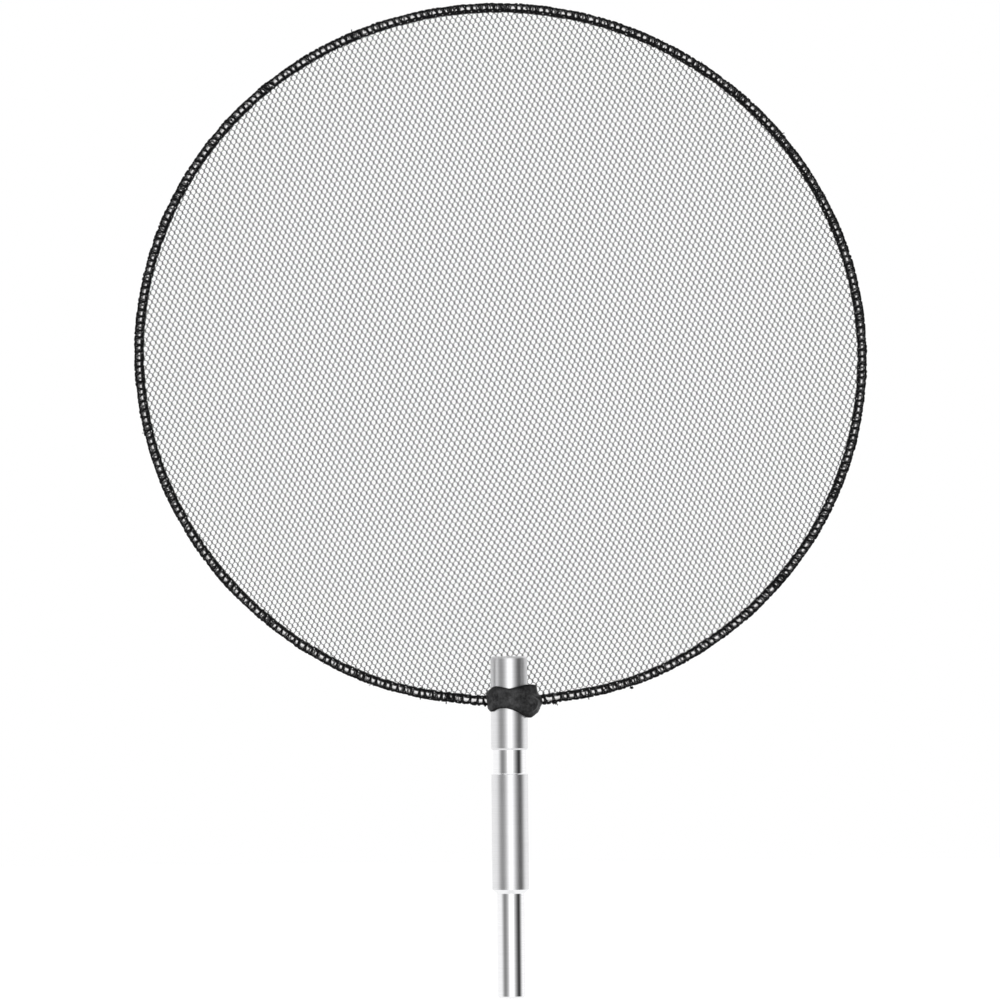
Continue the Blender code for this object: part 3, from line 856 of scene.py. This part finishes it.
# %% Swing the points round the wire
from_middle = calc("ABSOLUTE", calc("SUBTRACT", beat, 0.5))
there_and_back = {"Value": from_middle, "From Min": 0.32, "From Max": 0.02}
leg = node("ShaderNodeMapRange", there_and_back, interpolation_type="SMOOTHSTEP")
off_beat = calc("MULTIPLY", uneven, leg)
span = calc("SUBTRACT", given["To turn"], given["From turn"])
turn = calc("MULTIPLY_ADD", leg, span, given["From turn"])
turn = calc("MULTIPLY_ADD", luck["X"], off_beat, turn)
dwell = calc("MULTIPLY", calc("SINE", calc("MULTIPLY", beat, math.tau)), 0.52 / math.tau)
drift = calc("MULTIPLY_ADD", luck["Y"], off_beat, dwell)
drift = calc("MULTIPLY_ADD", given["Slant"], leg, drift)
forward = calc("MULTIPLY", drift, given["Pitch"])
reach = calc("MULTIPLY_ADD", leg, given["Swell"], given["Reach"])
reach = calc("MULTIPLY_ADD", luck["Z"], calc("MULTIPLY", uneven, 0.9 * MM), reach)
tangent = node("InputTangent")
square = {0: (0.0, 1.0, 0.0), 1: tangent}
outward = node("ShaderNodeVectorMath", square, operation="CROSS_PRODUCT")
out_part = calc("MULTIPLY", reach, calc("COSINE", turn))
back_part = calc("MULTIPLY", reach, calc("MULTIPLY", calc("SINE", turn), -1.0))
total = node("ShaderNodeCombineXYZ", {"Y": back_part})
for direction, amount in ((outward, out_part), (tangent, forward)):
    parts = {0: total, 1: scaled(sew_tree, direction, amount)}
    total = node("ShaderNodeVectorMath", parts, operation="ADD")
sewn = node("SetPosition", {"Geometry": shared, "Offset": total})


def thickened(node, curve, radius):
    """A thread along a curve, with closed ends."""
    ring = node("CurvePrimitiveCircle", {"Resolution": 5, "Radius": radius})
    return node("CurveToMesh", {"Curve": curve, "Profile Curve": ring, "Fill Caps": True})


finish_group(sew_tree, thickened(node, sewn, given["Thread radius"]), given["Material"])
print("the whole sewing tree:", len(sew_tree.nodes), "nodes")

# %% Sew the edge
edge_line, EDGE_LENGTH = hoop_points(BAR_RADIUS + 3 * MM, -BAR_RADIUS - 1 * MM, RIM_POINTS)
edge_loops = round(EDGE_LENGTH / LOOP_PITCH)
threads = []


def path_mesh(stretches):
    """A mesh of edges alone, along one or more rows of places (x, z)."""
    points, steps = [], []
    for stretch in stretches:
        steps += [(i, i + 1) for i in range(len(points), len(points) + len(stretch) - 1)]
        points += upright(stretch).tolist()
    mesh = bpy.data.meshes.new("path")
    mesh.from_pydata(points, steps, [])
    return mesh


def sew(name, from_turn, to_turn, stretches=(edge_line,), **sizes):
    """Sews one thread. Turns are degrees round the wire: 0 outwards, 90 in front, 180 towards the net."""
    sizes = {"Loops": edge_loops, "Seed": len(threads) + 1} | sizes
    turns = {"From_turn": math.radians(from_turn), "To_turn": math.radians(to_turn)}
    threads.append(grown(name, sew_tree, thread_material, path_mesh(stretches), **turns, **sizes))


sew("front_looper", -10, 172, Slant=-0.22, Reach=1.4 * MM, Unevenness=0.26)
sew("back_looper", 10, -172, Phase=0.5, Slant=-0.1, Reach=1.4 * MM, Unevenness=0.26)
sew("outer_chain_a", -30, 35, Phase=0.2, Reach=1.36 * MM, Thread_radius=0.22 * MM)
sew("outer_chain_b", 28, -20, Phase=0.7, Reach=1.32 * MM, Thread_radius=0.22 * MM)
sew("needle_chain_a", 136, 178, Reach=1.42 * MM, Thread_radius=0.3 * MM)
sew("needle_chain_b", -172, -222, Phase=0.4, Reach=1.42 * MM, Thread_radius=0.28 * MM)
print(f"{edge_loops} loops of {len(threads)} threads")

# %% [markdown]
# ### Where the seam isn't even
# The photograph shows places where the fold is gathered into a dark knot that hides the wire, and a stretch
# on the upper right where the needle's line wanders outwards and covers more of the fold. The same tree sews
# both: short, close and tangled loops for the gathers, and one more chain for the wider seam.

# %% Gather the fold, and widen the seam
# angles are in degrees round the hoop
GATHERS = (27, 36, 48, 90, 98, 114, 131, 153, 202, 228, 246, 260, 262, 291, 321, 338)
GATHER_LENGTH = 6.5 * MM
WIDE_FROM, WIDE_TO = 18, 106
from_hoop_centre = edge_line - HOOP_CENTRE
edge_angle = np.degrees(np.arctan2(from_hoop_centre[:, 1], from_hoop_centre[:, 0])) % 360
gather_size = round(GATHER_LENGTH / EDGE_LENGTH * len(edge_line))
firsts = [int(np.argmin(np.abs(edge_angle - angle))) - gather_size // 2 for angle in GATHERS]
gathers = [edge_line[max(first, 0) : first + gather_size] for first in firsts]
tangled = {"Loops": 8, "Pitch": 0.8 * MM, "Unevenness": 0.5}
sew("gathers", 55, 130, gathers, **tangled, Reach=1.35 * MM, Thread_radius=0.1 * MM)
wide_part = edge_line[(edge_angle > WIDE_FROM) & (edge_angle < WIDE_TO)]
wide_loops = round(len(wide_part) / len(edge_line) * edge_loops)
sew("wide_seam", 114, 150, [wide_part], Loops=wide_loops, Reach=1.38 * MM, Thread_radius=0.28 * MM)
print(len(gathers), "gathers,", wide_loops, "loops of the wider seam")

# %% [markdown]
# ### Cut ends
# Trimmed threads leave short ends all along the rim, more of them beside the spigot, and in two places a
# snag hangs below it. Hair particles could scatter them, but the export keeps meshes alone. A third tree
# bends one short thread and puts a turned and scaled copy of it on each of a cloud of points.

# %% Build the tree for cut ends
ends_tree, given, node, _ = new_node_group("cut_ends", {
    "Thread radius": 0.2,  # of the end's own length
    "Shortest": 0.4 * MM,
    "Longest": 1.15 * MM,
    "Seed": 4,
    "Material": thread_material,
})
bow = {"Resolution": 5, "Start": (0.0, 0.0, 0.0), "Middle": (0.6, 0.0, 0.35), "End": (1.0, 0.0, 0.0)}
bow = node("CurveQuadraticBezier", bow)
aim = {"Seed": given["Seed"], "Max": (math.tau, math.tau, math.tau)}
aim = node("FunctionNodeRandomValue", aim, data_type="FLOAT_VECTOR")
longer = {"Seed": given["Seed"], 2: given["Shortest"], 3: given["Longest"]}
longer = add(ends_tree, "FunctionNodeRandomValue", longer, data_type="FLOAT").outputs[1]
one_end = thickened(node, bow, given["Thread radius"])
tufts = {"Points": given["Geometry"], "Instance": one_end, "Rotation": aim, "Scale": longer}
tufts = node("InstanceOnPoints", tufts)
finish_group(ends_tree, tufts, given["Material"])
print("tree for cut ends:", len(ends_tree.nodes), "nodes")

# %% Scatter the cut ends
LOOSE_ENDS = 90
ENDS_BY_SPIGOT = 15  # more on each side
BY_SPIGOT = 0.045  # of the edge's length
END_REACH = 1.55 * MM  # from the wire's centre line
SNAGS = ((16.2, 83.8), (42.7, 88.8))  # x and z in millimetres
SNAG_ENDS = 7
SNAG_DEPTH = -0.5 * MM
draw = np.random.default_rng(12)
near = int(BY_SPIGOT * len(edge_line))
spots = np.concatenate([
    draw.integers(0, len(edge_line), LOOSE_ENDS),
    draw.integers(0, near, ENDS_BY_SPIGOT),
    draw.integers(len(edge_line) - near, len(edge_line), ENDS_BY_SPIGOT),
])
turn = draw.uniform(0, math.pi, len(spots))
outward = outwards(headings(edge_line)[spots])
loose = upright(edge_line[spots] + (END_REACH * np.cos(turn))[:, None] * outward)
loose[:, 1] -= END_REACH * np.sin(turn)
snags = [(x * MM, SNAG_DEPTH, z * MM) for x, z in SNAGS for _ in range(SNAG_ENDS)]
mesh = bpy.data.meshes.new("loose_places")
mesh.from_pydata(loose.tolist() + snags, [], [])
threads.append(grown("cut_ends", ends_tree, thread_material, mesh))
print(len(loose) + len(snags), "cut ends,", sum(2 * len(item.data.polygons) for item in threads), "triangles")


# %% [markdown]
# ## The tape wrap
# A strip of black vinyl tape goes round the place where the wire passes through the spigot. It hugs the
# round head, and is drawn out along the wire on both sides, further on the right. Sculpting would suit such
# a soft shape, but it can't be written down and changed. A closed skin is made from rings instead: each ring
# is one turn of angles round the head, and its height and reach follow the outline in the photograph.
# Creases run in to the wire, and the edges of the tape's layers stand up as small steps.
#
# The vinyl is dusty on its flat parts and shines less along its rims, where its colour is also darkened as
# painted shade. One crease on the right is lightened as a painted highlight. Both are painted by attributes
# of the mesh, which the material reads.

# %% Make the vinyl
def black_vinyl():
    material, tree, shader = new_material("black_vinyl")
    marks = [add(tree, "Attribute", attribute_name=name) for name in ("edge", "fold")]
    edge, fold = (mark.outputs["Fac"] for mark in marks)
    dust = object_noise(tree, 460.0, 7.0, 0.75)
    colour = blend_of(tree, dust, (0.004, 0.004, 0.0045), (0.085, 0.085, 0.087), (0.4, 0.68))
    # the edge attribute darkens the colour along the rims as painted shade, and the fold attribute lightens
    # one crease as a painted highlight
    for share, level in ((edge, 0.002), (fold, 0.16)):
        mix = {0: share, 6: colour, 7: (level, level, level, 1.0)}  # 6 and 7 are the inputs for colours
        colour = add(tree, "Mix", mix, data_type="RGBA").outputs[2]
    fill(tree, shader, {
        "Base Color": colour,
        "Roughness": 0.5,
        "Specular IOR Level": maths(tree, "MULTIPLY_ADD", edge, -0.3, 0.35),
        "Normal": bumps(tree, object_noise(tree, 1100.0, 5.0), 0.6, 0.15 * MM),
    })
    return material


vinyl_material = black_vinyl()
print("vinyl:", len(vinyl_material.node_tree.nodes), "nodes")

# %% Set the wrap's outline
# millimetres from the spigot's axis and the wire's height; degrees from the right end over the front
TURNS = 240
HEIGHTS = 44
HUG = 7.2  # the tape's radius where it hugs the head
INSIDE = (BAR_RADIUS + 0.04 * MM) / MM
LIP = 0.04
TOP_EDGE = ((0, 5.0), (12, 5.4), (20, 5.5), (43, 5.2), (70, 4.6), (90, 4.1), (113, 4.7), (131, 5.0),
            (147, 4.6), (180, 3.0), (220, 3.4), (270, 3.2), (315, 3.9), (345, 4.4), (360, 5.0))
FOOT_EDGE = ((0, -4.4), (18, -6.1), (43, -5.1), (61, -4.1), (79, -3.2), (99, -2.6), (121, -2.7), (154, -3.9),
             (180, -2.6), (215, -3.6), (270, -3.3), (320, -4.6), (345, -5.4), (360, -4.4))
RIGHT_REACH = ((-6.2, 8.4), (-4.4, 9.9), (-3.0, 10.5), (-0.5, 11.4), (1.25, 10.9), (2.3, 9.6), (4.1, 9.4),
               (5.2, 9.2), (5.6, 8.6))
LEFT_REACH = ((-3.9, 7.4), (-1.25, 7.7), (2.7, 7.7), (4.5, 6.7))
FAN_REACH, FAN_HEIGHT = 12.5, -0.4  # the place on the wire that the creases run in to
FOLD_DEPTH = 0.32
RIPPLE_DEPTH = 0.06
LAYER_EDGES = ((1.6, 0.018), (-1.4, -0.012))  # height, and slope in millimetres for each degree
LAYER_STEP = 0.12
ROLLED_EDGE = 0.22


def read_off(table, value):
    keys, results = np.array(table).T
    return np.interp(value, keys, results)


def smoothed(row):
    """A closed row of numbers, with its corners taken off."""
    for _ in range(3):
        row = (np.roll(row, 1) + 2 * row + np.roll(row, -1)) / 4
    return row


# %% Shape the wrap
def skin_reach(angle, height, share):
    """How far one ring of the skin lies from the axis, for a share of the way from the foot to the top."""
    cosine = np.cos(np.radians(angle))
    right, left = (read_off(table, height) - HUG for table in (RIGHT_REACH, LEFT_REACH))
    reach = HUG + np.where(cosine > 0, right * np.abs(cosine) ** 9, left * np.abs(cosine) ** 6)
    x = reach * cosine
    to_wire = np.degrees(np.arctan2(height - FAN_HEIGHT, FAN_REACH - x))
    fold = np.abs(np.sin(np.radians(3.3 * to_wire + 20 * np.sin(x)))) ** 0.6
    reach += FOLD_DEPTH * fold * np.clip((x - 4.0) / 4, 0, 1)
    ripple = np.sin(1.9 * height + 0.06 * angle) * np.sin(0.11 * angle + 0.7 * height)
    reach += RIPPLE_DEPTH * ripple
    for edge, slope in LAYER_EDGES:
        reach += LAYER_STEP / (1 + np.exp(-(height - edge + slope * (angle - 90)) / 0.08))
    return reach - ROLLED_EDGE * (np.abs(2 * share - 1) ** 10)


def wrap_rings(angle):
    """Rings of reach and height, up the outside of the tape and down its inside."""
    top, foot = smoothed(read_off(TOP_EDGE, angle)), smoothed(read_off(FOOT_EDGE, angle))
    shares = [i / (HEIGHTS - 1) for i in range(HEIGHTS)]
    heights = [foot + (top - foot) * share for share in shares]
    rings = [(skin_reach(angle, height, share), height) for height, share in zip(heights, shares)]
    inside = np.full(TURNS, INSIDE)
    over, under = (ring[0] * 0.4 + inside * 0.6 for ring in (rings[-1], rings[0]))
    rings += [(over, top + LIP), (inside, top - LIP), (inside, (top + foot) / 2), (inside, foot + LIP)]
    return rings + [(under, foot - LIP)]


angle = np.arange(TURNS) * 360 / TURNS
rings = wrap_rings(angle)
cosine, sine = np.cos(np.radians(angle)), np.sin(np.radians(angle))
wrap_points = np.concatenate([
    np.stack([reach * cosine, -reach * sine, height], axis=1) for reach, height in rings
]) * MM
wrap_points[:, 2] += WIRE_HEIGHT
wrap_faces = []
for i in range(len(rings)):
    for j in range(TURNS):
        a, b = i * TURNS, (i + 1) % len(rings) * TURNS
        k = (j + 1) % TURNS
        wrap_faces.append((a + j, b + j, b + k, a + k))
mesh = bpy.data.meshes.new("tape_wrap")
mesh.from_pydata(wrap_points.tolist(), [], wrap_faces)
wrap = smooth(mesh_object("tape_wrap", mesh, vinyl_material), 70)
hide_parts("joint_wrap")
print("wrap", len(wrap_faces), "faces")

# %% Paint shade on the rims and a highlight on the crease
CREASE = ((-4.6, 7.7), (-3.6, 8.8), (-2.9, 9.6), (-1.6, 10.2), (-0.1, 10.4), (0.7, 9.3),
          (1.5, 8.2), (2.0, 7.8))
CREASE_WIDTH = 0.24
CREASE_FROM, CREASE_TO = -4.6, 1.9
ring_number = np.repeat(np.arange(len(rings)), TURNS)
from_middle = np.abs(2 * ring_number / (HEIGHTS - 1) - 1)
wrap_height = (wrap_points[:, 2] - WIRE_HEIGHT) / MM
# the crease's painted highlight: strongest on the crease's line, fading in and out between CREASE_FROM and
# CREASE_TO
fading = np.clip(wrap_height - CREASE_FROM, 0, 1) * np.clip(CREASE_TO - wrap_height, 0, 1)
from_crease = wrap_points[:, 0] / MM - read_off(CREASE, wrap_height)
crease_highlight = fading * np.exp(-((from_crease / CREASE_WIDTH) ** 2))
# edge holds the painted shade along the rims, and fold holds the crease's painted highlight
for label, values in (("edge", np.clip(from_middle, 0, 1) ** 6 * 0.95), ("fold", 0.8 * crease_highlight)):
    wrap.data.attributes.new(label, "FLOAT", "POINT").data.foreach_set("value", values)
print(int((crease_highlight > 0.5).sum()), "points on the pale crease")

# %% [markdown]
# ## Attaching the pieces
# Every piece rides on the one body, and the model's edge binding and net, which the threads and the bands
# replace, are hidden. The bands are one piece of tulle on the real object: they are separate only because
# a mesh has to stay small enough for the export.

slots = {
    "turned_aluminium": [spigot],
    "black_steel": [grub_screw],
    "spring_steel": [wire],
    "black_tulle": [hem, *[item for item, flat_size, area in net_bands]],
    "black_thread": threads,
    "black_vinyl": [wrap],
}
for slot_name, items in slots.items():
    for item in items:
        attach(item, "root")
for item in threads:
    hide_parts("edge_binding")
for item, flat_size, area in net_bands:
    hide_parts("net")
print("pieces", [item.name for items in slots.values() for item in items])

# %% [markdown]
# ## Floor and light
# The photograph has a pure white ground. The world is white where the camera looks at it, and weaker as a
# light. For the metal, the world is a studio: a white panel behind the camera, a grey one on the left, a
# dark one on the right, and white behind the object. These make the bands along the spigot. Above and below
# it is white as well, which the chamfers and steps show as bright rings. An environment picture could do the
# same, but a short list of panels is easier to read and to change.

# %% Lay the floor
FLOOR_RADIUS = 1.5
FLOOR_CORNERS = 96
FLOOR_GLOW = 0.5
WHITE = (1.0, 1.0, 1.0, 1.0)
turns = [math.tau * i / FLOOR_CORNERS for i in range(FLOOR_CORNERS)]
corners = [(FLOOR_RADIUS * math.cos(turn), FLOOR_RADIUS * math.sin(turn), PIN_END) for turn in turns]
mesh = bpy.data.meshes.new("floor")
mesh.from_pydata(corners, [], [tuple(range(FLOOR_CORNERS))])
floor_material, tree, shader = new_material("pale_floor")
fill(tree, shader, {"Base Color": (0.88, 0.88, 0.88, 1.0), "Roughness": 0.9})
rays = add(tree, "LightPath").outputs
seen_in = maths(tree, "ADD", rays["Is Glossy Ray"], rays["Is Transmission Ray"])
seen = maths(tree, "ADD", rays["Is Camera Ray"], seen_in, use_clamp=True)
strength = maths(tree, "MULTIPLY", seen, FLOOR_GLOW)
glow = output(tree, "Emission", {"Color": WHITE, "Strength": strength})
both = output(tree, "AddShader", {0: shader.outputs[0], 1: glow})
fill(tree, tree.nodes["Material Output"], {"Surface": both})
floor = mesh_object("floor", mesh, floor_material)
floor.visible_glossy = False  # the metal shows the studio's panels down to the ground
print("floor", 2 * FLOOR_RADIUS, "m across")

# %% Set up the studio's panels
PANELS = (  # degrees from the camera's side round to the right, and how bright; straight behind, it is 1
    (-141, 1.09), (-95, 1.07), (-85, 0.98), (-75, 0.72), (-66, 0.46), (-57, 0.29), (-50, 0.27), (-42, 0.32),
    (-35, 0.42), (-28, 0.55), (-20, 0.83), (-12, 1.25), (-4, 1.7), (14, 1.7), (22, 1.15), (30, 0.8),
    (38, 0.5), (46, 0.31), (55, 0.14), (63, 0.05), (68, 0.04), (75, 0.07), (85, 0.34), (96, 0.76),
    (107, 1.08), (121, 1.15),
)
ABOVE_AND_BELOW = 1.08
STEEP_FROM, STEEP_TO = 0.4, 0.65  # how steep a direction is where that light begins, and where it is full
WORLD_LIGHT = 0.55  # on cloth and floor
world = bpy.data.worlds.new("studio")
bpy.context.scene.world = world
world.use_nodes = True
tree = world.node_tree
way = add(tree, "TexCoord").outputs["Generated"]
way = add(tree, "SeparateXYZ", {"Vector": way}).outputs
round_turn = maths(tree, "ARCTAN2", way["X"], maths(tree, "MULTIPLY", way["Y"], -1.0))
ramp = add(tree, "ValToRGB", {"Fac": maths(tree, "MULTIPLY_ADD", round_turn, 1 / math.tau, 0.5)})
stops = ramp.color_ramp.elements
stops[0].color = stops[1].color = WHITE
for degrees, level in PANELS:
    stops.new(degrees / 360 + 0.5).color = (level, level, level, 1.0)
steep = {"Value": maths(tree, "ABSOLUTE", way["Z"]), "From Min": STEEP_FROM, "From Max": STEEP_TO}
steep = output(tree, "MapRange", steep)
rays = add(tree, "LightPath").outputs
clear = maths(tree, "MAXIMUM", rays["Is Camera Ray"], rays["Is Transmission Ray"])
strength = ramp.outputs["Color"]
for share, level in ((steep, ABOVE_AND_BELOW), (rays["Is Diffuse Ray"], WORLD_LIGHT), (clear, 1.0)):
    strength = output(tree, "Mix", {"Factor": share, "A": strength, "B": level})
fill(tree, tree.nodes["Background"], {"Color": WHITE, "Strength": strength})
print(len(PANELS), "steps of brightness")

# %% Light the cloth from the front
lamp = bpy.data.lights.new("front_panel", "AREA")
lamp.shape = "RECTANGLE"
lamp.size, lamp.size_y = 1.2, 1.6
lamp.energy = 9.0
panel = bpy.data.objects.new("front_panel", lamp)
panel.location = (0.15, -2.4, 0.5)
panel.rotation_euler = (VIEW_CENTRE - panel.location).to_track_quat("-Z", "Y").to_euler()
panel.visible_glossy = False  # the world's panels already stand for it in the metal
panel.visible_camera = False
bpy.context.scene.collection.objects.link(panel)
bpy.context.scene.view_settings.view_transform = "Standard"
print("lamp", lamp.energy, "W")
